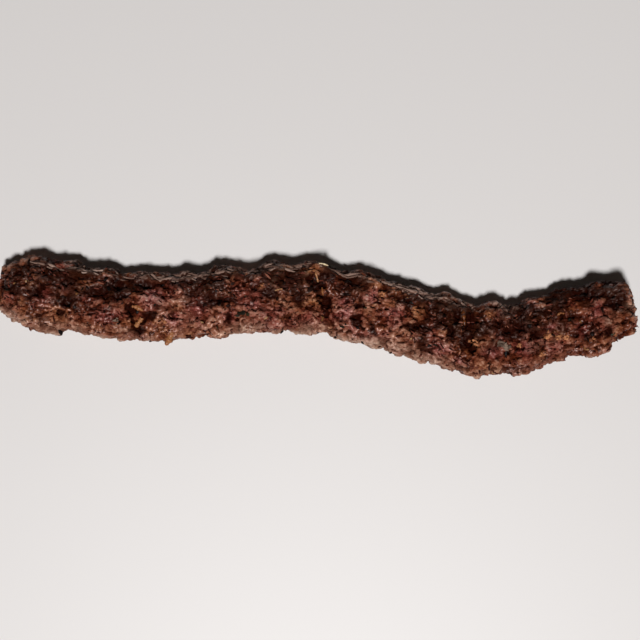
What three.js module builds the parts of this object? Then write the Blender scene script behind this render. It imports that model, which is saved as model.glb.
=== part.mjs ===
// A kofta kebab drawn off its flat skewer: one long roll of minced meat, pressed by the cook's fingers,
// char-grilled and lying on its flattened underside. Millimetres, +Z up, +X along the roll.
// The origin is on the table, under the middle of the roll's bounding box.
import * as THREE from "three";

// ---- driving dimensions -------------------------------------------------------------------------
const LENGTH = 297; // tip to tip before the crags are added
const STATION_PITCH = 20; // the roll is described at sixteen stations this far apart
// How far the middle of the roll swings sideways at each station.
const SWAY = [
  12.5, 11, 8, 5.5, 4.5, 6.5, 8.5, 9.5,
  6.5, 1.5, -4.5, -10, -10.5, -4.5, 0.5, 4,
];
// Half of the roll's width at each station.
const HALF_WIDTH = [
  10.5, 16.5, 15, 15.5, 15, 16, 15, 16,
  16, 15.5, 15.5, 16, 16.5, 15.5, 16.5, 9,
];
// The roll's thickness at each station.
const THICKNESS = [
  12.5, 19.5, 18.5, 17, 18, 19.5, 19.5, 18.5,
  17.5, 18, 17, 17, 17, 16.5, 18, 12.5,
];
const SETTLE = 1; // how far the soft underside is flattened by the roll's own weight
const LIFTED_END = 4; // the right-hand tip curls up off the table by this much
const LIFT_FROM = 0.85; // share of the length where that curl begins
const LIFTED_START = 0.5; // the left-hand tip curls up less
const LIFT_UNTIL = 0.1; // share of the length where that curl ends
const SECTION_POWER = 2.4; // 2 is an ellipse; a higher power is a squarer section
const CURL_POWER = 2; // how late the right-hand curl begins to rise
const BLUNT_END = 6.5; // length of the rounded stub at each end
const STUB_POWER = 2.2; // the stub's outline seen from above: 2 is an ellipse, more is squarer
const STUB_FULLNESS = 3.2; // how fast the stub reaches its full girth: more is blunter
const TIP_REACH = 0.4; // the middle of each end stands out by this much

// Valleys that the fingers pressed across the roll: place along the length, depth, half-length, and
// how far the far side of the valley runs ahead of the near side.
const PRESSES = [
  { at: 28, deep: 1.5, reach: 5.5, skew: -4 },
  { at: 65.5, deep: 1.5, reach: 4.5, skew: -9.5 },
  { at: 83.5, deep: 1, reach: 3, skew: 0 },
  { at: 93, deep: 2, reach: 6, skew: 2 },
  { at: 113, deep: 1.5, reach: 5, skew: 6 },
  { at: 136, deep: 1.5, reach: 3, skew: 1.5 },
  { at: 155.5, deep: 2, reach: 4, skew: 3.5 },
  { at: 180.5, deep: 1, reach: 2.5, skew: -4 },
  { at: 203, deep: 1, reach: 5.5, skew: -6 },
  { at: 240.5, deep: 1.5, reach: 6, skew: 4 },
  { at: 256.5, deep: 1, reach: 5, skew: 5 },
  { at: 272, deep: 2, reach: 5.5, skew: 5 },
];
// Splits that opened while it grilled: place of the middle, depth, half-width, half-length across the
// roll, the split's middle across it (-1 near side, 1 far side) and its slant.
const SPLITS = [
  { at: 152.5, deep: 2.5, reach: 2, across: 0, span: 2.2, skew: -4.5 },
  { at: 221, deep: 2.5, reach: 2, across: 0.1, span: 1.2, skew: 2.5 },
  { at: 67.5, deep: 2, reach: 2.2, across: -0.5, span: 0.5, skew: 4 },
  { at: 15.5, deep: 1.5, reach: 2.5, across: 0.3, span: 0.7, skew: -6 },
  { at: 286, deep: 2, reach: 3.5, across: -1, span: 0.5, skew: 0 },
];
// Crags that stand proud of the roll: place along it, across it (-1 near, 1 far), height share
// (0 table, 1 top), reach and half-size.
const CRAGS = [
  { at: 3, across: 0.85, up: 0.5, reach: 2, size: 4 },
  { at: 1.5, across: -0.1, up: 0.4, reach: 1.5, size: 4 },
  { at: 148, across: 0.95, up: 0.75, reach: 3, size: 3 },
  { at: 168.5, across: 0.8, up: 0.85, reach: 2.5, size: 3.5 },
  { at: 292.5, across: 0.7, up: 0.75, reach: 3.5, size: 4.5 },
  { at: 296.5, across: -0.8, up: 0.45, reach: 2.5, size: 2.5 },
  { at: 231.5, across: 0.9, up: 0.6, reach: 2, size: 5 },
  { at: 30, across: -1, up: 0.3, reach: 2.5, size: 3.5 },
  { at: 204.5, across: 0.95, up: 0.65, reach: 2, size: 4.5 },
];
const CRAG_SQUAT = 0.6; // a crag fades out slower up and down than along the roll, by this share
// Two sizes of crumbled lump in the mince: lump size, relief, and the seed of its scatter.
const LUMPS = { size: 8.5, relief: 1.5, seed: 117 };
const CRUMBS = { size: 4.4, relief: 1, seed: 34 };
const LUMP_MIDDLE = 0.5; // the lump height that leaves the roll as thick as it was
const WARP = { size: 10, reach: 1.8, seed: 53 }; // a slow swirl that keeps the lumps from being round
const SMOOTH_BELOW = -0.95; // sine of the angle round the section under which there is no relief
const ROUGH_ABOVE = -0.35; // and over which the relief is whole

// ---- mesh ---------------------------------------------------------------------------------------
const ROWS_PER_END = 7;
const ROWS_BETWEEN = 124;
const SIDES = 42;
const UNDERSIDE_SPREAD = 0.36; // the facets are finer on top and coarser underneath by this share
const TURN_PROBE = 0.02; // step in radians for measuring the surface's slope round the section
const ROW_PROBE = 0.05; // step in rows for measuring it along the roll
const MEAT_BROWN = 0x4a281d;

const clamp = (value, low, high) => Math.min(high, Math.max(low, value));
const smoothStep = (from, to, value) => {
  const t = clamp((value - from) / (to - from), 0, 1);
  return t * t * (3 - 2 * t);
};
const bell = (distance, reach) => Math.exp(-((distance / reach) ** 2));
const power = (value, exponent) => Math.sign(value) * Math.abs(value) ** exponent;

// A value read from a list of stations at a distance along the roll, on a Catmull-Rom curve.
function atStation(list, along) {
  const place = clamp(along / STATION_PITCH, 0, list.length - 1);
  const i = Math.min(Math.floor(place), list.length - 2);
  const t = place - i;
  const [a, b, c, d] = [-1, 0, 1, 2].map((k) => list[clamp(i + k, 0, list.length - 1)]);
  return b + 0.5 * t * (c - a + t * (2 * a - 5 * b + 4 * c - d + t * (3 * (b - c) + d - a)));
}

// A repeatable random number from 0 to 1 for a cell of a 3-D grid.
function chance(i, j, k, seed) {
  let h = Math.imul(i, 0x27d4eb2d) ^ Math.imul(j, 0x165667b1) ^ Math.imul(k, 0x1b873593);
  h = Math.imul(h ^ Math.imul(seed, 0x9e3779b1), 0x85ebca6b);
  h = Math.imul(h ^ (h >>> 15), 0x85ebca6b);
  h = Math.imul(h ^ (h >>> 13), 0xc2b2ae35);
  return ((h ^ (h >>> 16)) >>> 0) / 4294967296;
}

// Smooth random values, blended between the corners of a grid of cells of the given size.
function swirl(point, size, seed) {
  const scaled = point.map((v) => v / size);
  const cell = scaled.map(Math.floor);
  const fade = scaled.map((v, axis) => smoothStep(0, 1, v - cell[axis]));
  let total = 0;
  for (let corner = 0; corner < 8; corner++) {
    const step = [corner & 1, (corner >> 1) & 1, corner >> 2];
    const weight = step.reduce((w, s, axis) => w * (s ? fade[axis] : 1 - fade[axis]), 1);
    total += weight * chance(...cell.map((c, axis) => c + step[axis]), seed);
  }
  return total * 2 - 1;
}

// Rounded lumps packed side by side: 1 at the middle of a lump, down to about 0 in the creases.
function lumps(point, { size, seed }) {
  const scaled = point.map((v) => v / size);
  const cell = scaled.map(Math.floor);
  let nearest = Infinity;
  for (let i = -1; i <= 1; i++)
    for (let j = -1; j <= 1; j++)
      for (let k = -1; k <= 1; k++) {
        const home = [cell[0] + i, cell[1] + j, cell[2] + k];
        const away = home.map((c, axis) => c + chance(...home, seed + axis) - scaled[axis]);
        nearest = Math.min(nearest, away[0] ** 2 + away[1] ** 2 + away[2] ** 2);
      }
  return 1 - nearest;
}

// The smooth roll: a squarish oval section carried along the swaying middle line, with blunt ends.
// along runs from 0 to LENGTH, girth scales the section, and angle turns from the near side over the top.
function rollPoint(along, girth, angle) {
  const share = along / LENGTH;
  const half = 0.5 * atStation(THICKNESS, along);
  const ahead = atStation(SWAY, along + 1) - atStation(SWAY, along - 1);
  const heading = Math.atan2(ahead, 2);
  const across = -power(Math.cos(angle), 2 / SECTION_POWER) * atStation(HALF_WIDTH, along) * girth;
  const up = power(Math.sin(angle), 2 / SECTION_POWER) * half * girth;
  const curl = LIFTED_END * smoothStep(LIFT_FROM, 1, share) ** CURL_POWER;
  const lift = curl + LIFTED_START * (1 - smoothStep(0, LIFT_UNTIL, share));
  return [
    along - LENGTH / 2 - across * Math.sin(heading),
    atStation(SWAY, along) + across * Math.cos(heading),
    half - SETTLE + lift + up,
  ];
}

// How far the crust stands out of the smooth roll at a point: presses and splits are valleys, crags
// and lumps stand proud. Everything fades out under the roll, where it is pressed flat.
function relief(point, along, angle) {
  const across = -Math.cos(angle);
  const onTop = smoothStep(SMOOTH_BELOW, ROUGH_ABOVE, Math.sin(angle));
  let out = 0;
  for (const { at, deep, reach, skew } of PRESSES)
    out -= deep * bell(along - at - skew * across, reach);
  for (const { at, deep, reach, across: middle, span, skew } of SPLITS)
    out -= deep * bell(along - at - skew * across, reach) * bell(across - middle, span);
  for (const { at, across: side, up, reach, size } of CRAGS) {
    const [x, y, z] = rollPoint(at, 1, Math.atan2(2 * up - 1, -side));
    const gap = Math.hypot(point[0] - x, point[1] - y, CRAG_SQUAT * (point[2] - z));
    out += reach * bell(gap, size);
  }
  const bent = point.map((v, axis) => v + WARP.reach * swirl(point, WARP.size, WARP.seed + axis));
  for (const kind of [LUMPS, CRUMBS]) out += kind.relief * (lumps(bent, kind) - LUMP_MIDDLE);
  return out * onTop;
}

// A row's distance along the roll and its share of the full girth. The end rows follow a blunt dome.
function rowShape(row) {
  const lastRow = 2 * ROWS_PER_END + ROWS_BETWEEN;
  const fromEnd = Math.min(row, lastRow - row);
  let inset = BLUNT_END;
  let girth = 1;
  if (fromEnd < ROWS_PER_END) {
    const turn = (fromEnd / ROWS_PER_END) * (Math.PI / 2);
    inset = BLUNT_END * (1 - Math.cos(turn) ** (2 / STUB_POWER));
    girth = Math.sin(turn) ** (2 / STUB_FULLNESS);
  } else {
    inset += ((fromEnd - ROWS_PER_END) / ROWS_BETWEEN) * (LENGTH - 2 * BLUNT_END);
  }
  return { along: row === fromEnd ? inset : LENGTH - inset, girth };
}

// A point of the crust: the smooth roll pushed out along its own normal by the relief, and pressed
// flat where it meets the table.
function crustPoint(row, angle) {
  const { along, girth } = rowShape(row);
  const here = new THREE.Vector3(...rollPoint(along, girth, angle));
  const before = rowShape(row - ROW_PROBE);
  const after = rowShape(row + ROW_PROBE);
  const back = new THREE.Vector3(...rollPoint(before.along, before.girth, angle));
  const front = new THREE.Vector3(...rollPoint(after.along, after.girth, angle));
  const left = new THREE.Vector3(...rollPoint(along, girth, angle - TURN_PROBE));
  const right = new THREE.Vector3(...rollPoint(along, girth, angle + TURN_PROBE));
  const normal = front.sub(back).cross(right.sub(left)).normalize();
  const out = here.addScaledVector(normal, relief(here.toArray(), along, angle));
  out.z = Math.max(out.z, 0);
  return out;
}

// The closed skin of the roll: a ring of points for each row, and one point at each tip.
function crustGeometry() {
  const lastRow = 2 * ROWS_PER_END + ROWS_BETWEEN;
  const points = [];
  const faces = [];
  const tip = (row) => {
    const { along } = rowShape(row);
    const [x, y, z] = rollPoint(along, 0, 0);
    return new THREE.Vector3(x + Math.sign(x) * TIP_REACH, y, z);
  };
  points.push(tip(0));
  for (let row = 1; row < lastRow; row++)
    for (let side = 0; side < SIDES; side++) {
      const even = (2 * Math.PI * side) / SIDES;
      points.push(crustPoint(row, even + UNDERSIDE_SPREAD * Math.cos(even)));
    }
  points.push(tip(lastRow));
  const last = points.length - 1;
  const at = (row, side) => 1 + (row - 1) * SIDES + (side % SIDES);
  for (let side = 0; side < SIDES; side++) {
    faces.push(0, at(1, side), at(1, side + 1));
    faces.push(last, at(lastRow - 1, side + 1), at(lastRow - 1, side));
    for (let row = 1; row < lastRow - 1; row++) {
      faces.push(at(row, side), at(row + 1, side), at(row, side + 1));
      faces.push(at(row, side + 1), at(row + 1, side), at(row + 1, side + 1));
    }
  }
  const geometry = new THREE.BufferGeometry().setFromPoints(points).setIndex(faces);
  geometry.computeBoundingBox();
  const middle = geometry.boundingBox.getCenter(new THREE.Vector3());
  geometry.translate(-middle.x, -middle.y, 0);
  geometry.computeVertexNormals();
  return geometry;
}

const meat = new THREE.MeshStandardMaterial({ color: MEAT_BROWN, roughness: 0.6, metalness: 0 });
const kofta = new THREE.Mesh(crustGeometry(), meat);
kofta.name = "kofta";

const kebab = new THREE.Group();
kebab.add(kofta);

export default kebab;
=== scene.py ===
"""Char-grilled kofta kebab: the looks of one long roll of minced meat, drawn off its flat skewer.

Shapes are worked out in millimetres and put into the mesh in metres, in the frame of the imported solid.
"""

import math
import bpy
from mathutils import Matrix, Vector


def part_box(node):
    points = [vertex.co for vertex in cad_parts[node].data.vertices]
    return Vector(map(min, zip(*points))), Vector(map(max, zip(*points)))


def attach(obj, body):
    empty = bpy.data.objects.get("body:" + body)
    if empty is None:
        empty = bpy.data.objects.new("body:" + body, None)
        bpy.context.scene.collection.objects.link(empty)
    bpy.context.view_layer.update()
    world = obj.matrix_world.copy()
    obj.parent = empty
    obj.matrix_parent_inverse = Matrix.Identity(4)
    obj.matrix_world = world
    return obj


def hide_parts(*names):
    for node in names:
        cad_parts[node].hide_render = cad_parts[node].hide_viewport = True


bl_info = {
    "name": "Kofta Kebab",
    "version": (1, 0, 0),
    "blender": (4, 5, 0),
    "location": "3D View > Sidebar > Kofta",
    "description": "Builds a char-grilled roll of minced meat, its loose crumbs and a plain stage",
    "category": "Add Mesh",
}

import bpy
import numpy as np

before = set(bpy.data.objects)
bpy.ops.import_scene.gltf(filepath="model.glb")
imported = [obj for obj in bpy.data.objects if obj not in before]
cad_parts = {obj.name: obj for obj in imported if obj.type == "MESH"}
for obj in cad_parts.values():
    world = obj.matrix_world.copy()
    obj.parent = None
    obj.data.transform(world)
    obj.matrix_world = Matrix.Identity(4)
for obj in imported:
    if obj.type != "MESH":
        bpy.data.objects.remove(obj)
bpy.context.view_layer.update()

MM = 0.001  # metres in a millimetre
BODY = "root"
NODE = "kofta"

# ---- the roll's driving sizes, in millimetres, as in the solid ----------------------------------
LENGTH = 297.0
SWAY = [12.5, 11.0, 8.0, 5.5, 4.5, 6.5, 8.5, 9.5, 6.5, 1.5, -4.5, -10.0, -10.5, -4.5, 0.5, 4.0]
HALF_WIDTH = [10.5, 16.5, 15.0, 15.5, 15.0, 16.0, 15.0, 16.0, 16.0, 15.5, 15.5, 16.0, 16.5, 15.5, 16.5, 9.0]
THICKNESS = [12.5, 19.5, 18.5, 17.0, 18.0, 19.5, 19.5, 18.5, 17.5, 18.0, 17.0, 17.0, 17.0, 16.5, 18.0, 12.5]
STATION_PITCH = 20.0
SETTLE = 1.0  # how far the soft underside sinks below the table before it is pressed flat
LIFTED_END = 4.0  # how far the right tip curls up
LIFT_FROM = 0.85  # share of the length where that curl begins
CURL_POWER = 2.0  # how late it begins to rise
LIFTED_START = 0.5  # how far the left tip is off the table
LIFT_UNTIL = 0.1  # share of the length where that ends
SECTION_POWER = 2.4  # 2 is an ellipse, more is squarer
BLUNT_END = 6.5  # length of the rounded stub at each end
STUB_POWER = 2.2  # the stub's outline seen from above: 2 is an ellipse, more is squarer
STUB_FULLNESS = 3.2  # how fast the stub reaches its full girth: more is blunter
# (place along, depth, half-length, skew) of each valley pressed by a finger
PRESSES = [
    (28.0, 1.5, 5.5, -4.0),
    (65.5, 1.5, 4.5, -9.5),
    (83.5, 1.0, 3.0, 0.0),
    (93.0, 2.0, 6.0, 2.0),
    (113.0, 1.5, 5.0, 6.0),
    (136.0, 1.5, 3.0, 1.5),
    (155.5, 2.0, 4.0, 3.5),
    (180.5, 1.0, 2.5, -4.0),
    (203.0, 1.0, 5.5, -6.0),
    (240.5, 1.5, 6.0, 4.0),
    (256.5, 1.0, 5.0, 5.0),
    (272.0, 2.0, 5.5, 5.0),
]
# (place along, depth, half-width, middle across, half-length across, skew) of each split
SPLITS = [
    (152.5, 2.5, 2.0, 0.0, 2.2, -4.5),
    (221.0, 2.5, 2.0, 0.1, 1.2, 2.5),
    (67.5, 2.0, 2.2, -0.5, 0.5, 4.0),
    (15.5, 1.5, 2.5, 0.3, 0.7, -6.0),
    (286.0, 2.0, 3.5, -1.0, 0.5, 0.0),
]
# (place along, side, height share, reach, half-size) of each crag that stands proud
CRAGS = [
    (3.0, 0.85, 0.5, 2.0, 4.0),
    (1.5, -0.1, 0.4, 1.5, 4.0),
    (148.0, 0.95, 0.75, 3.0, 3.0),
    (168.5, 0.8, 0.85, 2.5, 3.5),
    (292.5, 0.7, 0.75, 3.5, 4.5),
    (296.5, -0.8, 0.45, 2.5, 2.5),
    (231.5, 0.9, 0.6, 2.0, 5.0),
    (30.0, -1.0, 0.3, 2.5, 3.5),
    (204.5, 0.95, 0.65, 2.0, 4.5),
]
CRAG_SQUAT = 0.6  # crags reach further up and down than across
LUMPS = (8.5, 1.5, 117)  # lump size, relief and seed
CRUMBS = (4.4, 1.0, 34)
LUMP_MIDDLE = 0.5  # lumps lower than this are dents
WARP = (10.0, 1.8, 53)  # size, reach and seed of the swirl that bends the lumps
SMOOTH_BELOW, ROUGH_ABOVE = -0.95, -0.35  # sines of the ring angle between which the relief fades in
SOLID_GRID = (7, 124, 42, 0.36)  # rows per end, rows between, sides and spread of the solid's grid
FINE_ROWS_PER_END = 18
FINE_SPREAD = 0.55  # share by which a ring is finer on top and coarser underneath

# ---- what only the eye sees, in millimetres from the middle of the roll -------------------------
# Cracks opened by the heat, painted dark with a painted shade in their depth: the line of each seen from
# above, its depth and its half-width.
CRACKS = [
    ([(-2.3, 18.5), (0.7, 14.8), (3.3, 9.5), (4.2, 5.0)], 1.6, 0.7),
    ([(73.0, 2.5), (71.8, -1.5), (69.5, -8.0), (70.5, -12.0), (73.3, -16.0)], 1.5, 0.8),
    ([(-88.0, 5.0), (-86.4, 1.0), (-85.0, -3.0), (-82.5, -7.0)], 1.7, 0.8),
    ([(-76.0, 0.5), (-79.0, -0.5), (-82.0, -3.5)], 1.6, 0.8),
    ([(16.9, 0.9), (19.3, -2.4), (22.1, -5.2)], 1.5, 0.8),
    ([(40.4, -3.8), (46.0, -4.2), (51.7, -4.7)], 1.6, 0.9),
    ([(-49.8, 5.5), (-45.6, 7.5), (-41.4, 9.0)], 1.4, 0.8),
    ([(88.5, -6.0), (93.0, -4.5), (97.5, -6.0)], 1.3, 0.9),
]
# Pits where crumbs fell out, painted black with a painted shade in their depth: middle, half-length,
# half-width.
PITS = [
    (-129.5, 12.0, 3.5, 2.2),
    (-119.0, 1.6, 2.0, 1.8),
    (-116.0, 6.4, 2.4, 2.3),
    (-102.0, 12.0, 4.9, 2.4),
    (-93.5, 15.5, 3.6, 2.6),
    (-91.0, 10.0, 3.8, 1.9),
    (-86.0, 2.5, 1.9, 3.5),
    (-83.0, -6.4, 3.0, 1.8),
    (-79.0, 15.5, 4.6, 1.9),
    (-77.5, 0.6, 3.5, 2.0),
    (-44.0, 7.8, 7.4, 1.5),
    (-40.0, -0.2, 1.4, 2.7),
    (-21.5, 11.5, 4.1, 2.0),
    (-9.5, 7.7, 2.2, 1.6),
    (-2.3, 18.6, 2.7, 2.0),
    (0.8, 14.6, 2.0, 2.6),
    (4.0, 6.6, 1.8, 3.2),
    (18.6, -0.8, 2.0, 2.4),
    (20.2, 5.3, 1.9, 1.6),
    (26.7, -6.2, 1.8, 2.0),
    (45.5, -3.6, 4.3, 1.8),
    (58.5, -2.0, 1.9, 1.4),
    (62.7, -5.9, 2.4, 2.0),
    (65.9, 0.6, 1.8, 3.0),
    (72.2, -1.1, 2.3, 3.1),
    (70.1, -11.5, 3.0, 2.6),
    (72.8, -15.2, 1.9, 2.0),
    (88.7, -16.8, 2.0, 1.2),
    (89.6, -7.3, 3.2, 1.9),
    (101.7, -8.1, 2.2, 2.2),
    (125.0, 10.8, 5.4, 2.4),
    (135.5, -6.8, 2.0, 2.7),
    (138.0, 7.0, 3.4, 3.1),
]
# Bulges low on the far flank: x of the middle, half-length and how far each stands out.
FAR_BULGES = [
    (-131.0, 11.0, 2.0),
    (-112.0, 5.0, 1.8),
    (-95.5, 5.0, 1.1),
    (-81.5, 4.5, 1.0),
    (-62.0, 7.0, 1.6),
    (-44.5, 5.0, 1.7),
    (-21.5, 5.5, 1.2),
    (-4.5, 5.5, 0.9),
    (19.5, 6.0, 0.6),
    (34.0, 5.0, 0.6),
    (50.0, 4.5, 2.2),
    (64.0, 4.0, 0.6),
]
# Patches burnt black: middle, half-length, half-width.
BURNS = [
    (-95.5, 13.2, 8.0, 5.0),
    (-131.5, 12.7, 4.5, 3.5),
    (124.0, 12.7, 7.0, 3.6),
    (139.0, 7.0, 3.2, 3.6),
    (-45.0, 9.0, 7.0, 2.6),
    (60.0, 3.0, 6.0, 4.0),
    (94.0, 3.0, 8.0, 3.0),
    (71.0, -6.0, 3.5, 4.0),
]
# Patches where fat browned to amber, and where the mince stayed rosy: middle, half-length, half-width.
AMBER = [
    (-131.0, 2.5, 6.0, 4.0),
    (-131.0, 16.5, 4.5, 2.5),
    (-105.5, 16.0, 4.5, 3.0),
    (-88.5, 18.5, 3.0, 2.0),
    (-70.0, -2.5, 5.5, 4.0),
    (-25.5, 15.0, 3.0, 1.3),
    (-1.5, 24.0, 3.6, 2.0),
    (-1.5, 7.5, 3.5, 3.0),
    (29.0, 12.5, 5.5, 3.2),
    (46.5, 3.0, 3.0, 2.5),
    (79.5, 2.0, 4.5, 3.5),
    (71.0, -14.0, 9.0, 5.0),
    (111.5, -8.5, 5.5, 2.2),
    (105.5, -17.0, 2.6, 2.2),
    (120.0, 4.0, 4.0, 2.5),
    (129.0, -10.5, 4.0, 3.5),
]
ROSY = [
    (-126.0, 11.0, 4.5, 3.0),
    (-98.0, 1.5, 8.0, 4.0),
    (-75.0, 10.0, 8.0, 5.0),
    (-66.0, 0.0, 6.0, 4.0),
    (-55.0, 5.0, 6.0, 6.0),
    (-40.0, 1.0, 4.0, 3.0),
    (-29.0, 6.0, 4.0, 2.6),
    (14.0, 1.0, 6.0, 4.5),
    (13.0, 7.0, 4.0, 3.0),
    (26.0, 9.5, 5.0, 3.0),
    (36.0, 2.0, 5.0, 4.0),
    (57.0, -14.0, 6.0, 5.0),
    (68.0, -19.0, 4.0, 3.0),
    (82.0, -16.0, 6.0, 4.0),
    (97.0, -14.0, 5.0, 4.0),
    (110.0, -5.0, 5.0, 3.0),
    (125.0, -5.0, 4.0, 4.0),
    (132.0, 4.0, 4.0, 4.0),
]
# Patches painted lighter (above 0) or darker than the rest, in part a painted light and shade: middle,
# half-length, half-width and how much.
TONE_AND_LIGHT_PATCHES = [
    (-141.0, 14.0, 7.0, 8.0, -1.7),
    (-133.0, -4.0, 5.0, 3.0, -1.5),
    (-128.5, 6.5, 6.0, 2.5, -2.2),
    (-125.0, 15.0, 5.0, 5.0, -0.6),
    (-131.0, 26.5, 8.0, 2.5, 2.4),
    (-120.0, 2.0, 4.0, 4.0, 2.6),
    (-115.0, 24.5, 7.0, 2.2, 2.8),
    (-108.0, 6.0, 5.0, 5.0, -1.8),
    (-107.0, -3.0, 6.0, 2.0, 0.8),
    (-106.0, 17.0, 6.0, 4.0, -2.0),
    (-97.0, -1.0, 6.0, 5.0, -1.5),
    (-95.0, 11.0, 7.0, 5.0, -1.8),
    (-82.0, 17.0, 3.0, 2.0, -1.2),
    (-80.0, 5.0, 4.0, 4.0, 1.6),
    (-76.0, 12.0, 5.0, 3.0, 1.0),
    (-75.0, -4.0, 6.0, 4.0, 1.2),
    (-72.0, 2.0, 4.0, 4.0, 1.0),
    (-66.0, 9.0, 4.0, 4.0, 1.6),
    (-67.0, 17.0, 4.0, 3.0, -1.0),
    (-61.0, -7.0, 9.0, 3.0, 1.8),
    (-58.0, 1.0, 6.0, 5.0, 2.2),
    (-50.0, 9.0, 3.5, 3.0, 1.8),
    (-47.0, -6.0, 6.0, 5.0, 2.4),
    (-43.5, 13.5, 5.0, 3.0, -2.4),
    (-35.0, 8.0, 5.0, 3.0, 0.6),
    (-28.5, 5.5, 3.5, 3.0, 2.2),
    (-31.5, 21.5, 7.0, 3.0, 3.4),
    (-31.0, -3.0, 5.0, 4.0, -0.5),
    (-24.0, 8.0, 5.0, 2.5, -2.2),
    (-19.0, 16.5, 7.0, 3.5, 1.2),
    (-14.0, 4.0, 4.0, 5.0, 2.8),
    (-11.0, 23.5, 8.0, 2.5, 2.2),
    (-6.0, 4.0, 3.0, 4.0, -1.5),
    (-5.0, 14.0, 4.0, 3.0, -1.4),
    (3.0, -3.0, 5.0, 6.0, 2.6),
    (7.0, 9.0, 3.0, 3.0, 1.6),
    (18.0, 9.0, 5.0, 5.0, -1.4),
    (24.0, 16.0, 8.0, 3.0, -1.6),
    (26.5, 9.0, 6.0, 3.0, 1.8),
    (35.0, -7.0, 6.0, 3.0, 0.9),
    (36.0, 5.0, 5.0, 2.5, 1.4),
    (36.0, 11.0, 4.0, 3.0, -0.8),
    (41.0, 6.0, 3.0, 4.0, -2.2),
    (47.0, -13.0, 3.0, 6.0, -1.1),
    (53.0, -0.5, 7.0, 3.0, -2.0),
    (57.0, -6.0, 6.0, 3.0, 0.9),
    (57.0, -15.0, 4.0, 4.0, 1.8),
    (62.0, 7.0, 5.0, 3.0, 1.6),
    (64.5, -10.0, 4.0, 8.0, -2.2),
    (69.0, -19.0, 3.0, 3.0, 1.8),
    (74.0, -19.0, 3.0, 5.0, -1.0),
    (79.0, -10.0, 5.0, 3.5, 1.7),
    (78.0, 2.0, 7.0, 4.0, -1.1),
    (84.0, -16.0, 6.0, 4.0, 1.4),
    (86.0, -5.0, 4.0, 5.0, -1.3),
    (89.0, 1.5, 3.5, 3.5, 1.5),
    (93.0, -18.0, 4.0, 3.0, 1.2),
    (95.0, 7.0, 5.0, 2.0, -0.8),
    (97.0, -14.0, 4.0, 3.0, 0.8),
    (102.5, -14.5, 4.0, 4.0, -1.4),
    (106.0, 8.5, 4.0, 2.0, 2.2),
    (107.5, -10.0, 6.0, 3.5, 3.0),
    (114.0, 1.0, 6.0, 5.0, -1.7),
    (112.0, -14.0, 5.0, 4.0, -0.9),
    (119.0, 13.0, 9.0, 2.0, -1.5),
    (123.0, -15.0, 4.0, 3.0, 1.4),
    (125.5, 4.0, 4.5, 5.0, 2.4),
    (124.0, -5.0, 3.0, 3.0, -0.4),
    (133.0, -4.0, 3.0, 7.0, -0.9),
    (137.0, 1.0, 3.0, 6.0, 1.5),
    (143.0, -2.0, 3.0, 7.0, -1.6),
    (146.0, 10.0, 2.5, 5.0, 1.5),
    (137.0, 13.5, 5.0, 3.0, -1.8),
    (104.0, 3.5, 3.0, 3.0, -1.2),
    (84.0, -23.0, 6.0, 3.0, 1.0),
    (80.0, 7.5, 7.0, 2.0, -0.9),
    (52.0, -12.0, 3.0, 3.0, -1.2),
    (7.0, 16.5, 3.0, 4.0, -1.6),
    (-60.0, 20.0, 10.0, 2.0, -0.8),
    (-83.5, 8.0, 3.0, 3.5, 1.5),
    (-92.0, 2.0, 2.5, 2.5, 0.9),
    (-136.0, 12.0, 2.5, 3.0, -1.4),
]
# Strands of onion: the route of each seen from above, its radius, its shade from 0 to 1, and how far its
# first and last points are above the crust.
STRANDS = [
    ([(-0.2, 21.2), (0.4, 19.2), (1.0, 16.6)], 0.5, 0.6, 0.2, -0.1),
    ([(2.8, 14.2), (3.1, 12.4), (3.4, 10.4)], 0.5, 0.35, 0.0, -0.3),
    ([(1.4, 25.4), (3.3, 25.2), (5.8, 24.3)], 0.38, 1.0, -0.2, 0.7),
    ([(-67.0, -6.6), (-68.2, -9.4), (-70.2, -12.8)], 1.5, 0.45, -0.5, -1.5),
    ([(68.5, 3.5), (68.9, 0.0), (69.2, -3.5)], 0.85, 0.1, -0.3, -0.5),
    ([(-81.0, 0.2), (-82.8, -2.2), (-84.4, -4.2)], 1.2, 0.5, -0.3, -0.6),
    ([(-85.8, 5.4), (-83.6, 5.0), (-80.6, 3.4)], 1.0, 0.45, -0.4, -0.6),
    ([(-19.0, 12.6), (-16.5, 13.4), (-14.5, 13.1)], 0.35, 0.6, -0.1, -0.2),
    ([(112.0, 1.0), (113.5, 2.2), (115.5, 2.0)], 0.5, 0.3, -0.1, -0.2),
]
# Torn leaves of herb, flakes of char, nubs of grey gristle and beads of browned fat: middle and size.
LEAVES = [(-34.5, 2.4, 1.6), (-31.5, 1.6, 1.3), (-36.5, 1.0, 1.1), (23.0, 4.6, 0.9)]
FLAKES = [
    (-120.0, -6.2, 2.0),
    (-16.0, -6.6, 0.9),
    (9.0, -9.0, 1.0),
    (21.7, -11.6, 0.9),
    (88.6, -17.0, 1.4),
]
NUBS = [(86.2, -12.4, 1.9), (88.6, -13.8, 1.8), (-93.0, -1.0, 1.0)]
BEADS = [
    (-70.0, -1.5, 1.3),
    (-25.0, 15.0, 0.9),
    (30.5, 11.2, 1.4),
    (46.0, 3.6, 1.3),
    (73.5, -11.5, 1.4),
    (80.0, 2.0, 1.2),
    (94.5, -13.0, 1.2),
    (105.6, -17.0, 1.3),
    (107.6, -8.2, 1.7),
    (112.0, -8.6, 1.5),
    (116.6, -9.0, 1.4),
    (129.0, -9.5, 1.0),
]
BITS_PER_NUB, BITS_PER_BEAD = 12, 10
# Threads of sinew dried along the far shoulder: where the first and last start along the roll, how long
# they are, how far across the roll (1 is the far edge) and how thick.
SINEW_START = (12.0, 208.0)
SINEW_LENGTH = (9.0, 22.0)
SINEW_ACROSS = (0.86, 0.99)
SINEW_RADIUS = (0.35, 0.7)
FAR_EDGE = 0.99  # furthest across that a thread may run
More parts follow.
